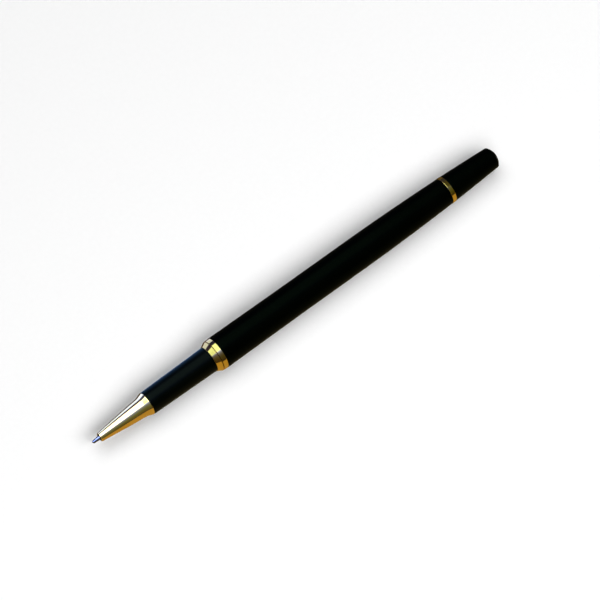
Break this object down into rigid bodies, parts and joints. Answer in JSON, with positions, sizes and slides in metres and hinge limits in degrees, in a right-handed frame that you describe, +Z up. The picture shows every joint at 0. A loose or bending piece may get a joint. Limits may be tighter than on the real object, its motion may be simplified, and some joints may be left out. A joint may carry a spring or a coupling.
{
  "type": "rollerball pen",
  "caption": "Slim uncapped rollerball pen: black barrel, gold nose cone, collar and tail ring, with a screw-in section, sprung refill and rolling writing ball.",
  "frame": {"origin": "below the middle of the pen's length, on the plane that the barrel's widest ring rests on", "axes": "+X along the pen from the writing tip to the tail, +Z up, with the pen lying on its side"},
  "size_m": [0.13, 0.0088, 0.0088],
  "materials": {
    "gold": "polished gold plating",
    "black_lacquer": "black gloss lacquer",
    "satin_black": "satin black",
    "stainless": "turned stainless steel",
    "brass": "bare turned brass",
    "white_plastic": "moulded natural white",
    "clear_tube": "clear to milky, extruded",
    "ink_fibre": "bonded fibre soaked in ink",
    "wick_fibre": "bonded fibre soaked in ink",
    "black_rubber": "moulded, matt",
    "spring_steel": "drawn wire",
    "carbide": "ground and polished carbide"
  },
  "bodies": {
    "barrel": {"barrel_shell": "black_lacquer", "mouth_ring": "gold", "thread_bushing": "brass", "barrel_liner": "white_plastic", "tail_bushing": "brass", "tail_ring": "gold", "tail_cap": "black_lacquer", "tail_stud": "stainless", "refill_spring": "spring_steel"},
    "seat_ring": {"seat_o_ring": "black_rubber"},
    "section": {"nose_cone": "gold", "grip_section": "satin_black", "clutch_ring": "gold", "thread_coupler": "brass"},
    "refill": {"ball_point": "stainless", "point_holder": "white_plastic", "feed_rod": "wick_fibre", "ink_reservoir": "ink_fibre", "refill_tube": "clear_tube", "refill_plug": "white_plastic"},
    "ball": {"writing_ball": "carbide"}
  },
  "joints": [
    {"name": "section_travel", "type": "slide", "parent": "barrel", "child": "seat_ring", "axis": [-1, 0, 0], "range_m": [0, 0.0045]},
    {"name": "section_turn", "type": "hinge", "parent": "seat_ring", "child": "section", "pos_m": [-0.0265, 0, 0.00438], "axis": [-1, 0, 0], "range_deg": [0, 2160]},
    {"name": "refill_float", "type": "slide", "parent": "seat_ring", "child": "refill", "axis": [1, 0, 0], "range_m": [0, 0.0008], "stiffness_N_per_m": 400, "springref_m": -0.0025, "deforming": ["refill_spring"]},
    {"name": "ball_roll", "type": "hinge", "parent": "refill", "child": "ball", "pos_m": [-0.06465, 0, 0.00438], "axis": [0, 1, 0], "continuous": true}
  ],
  "couplings": [
    {"joint": "section_turn", "follows": "section_travel", "rad_per_m": 8377.6}
  ]
}
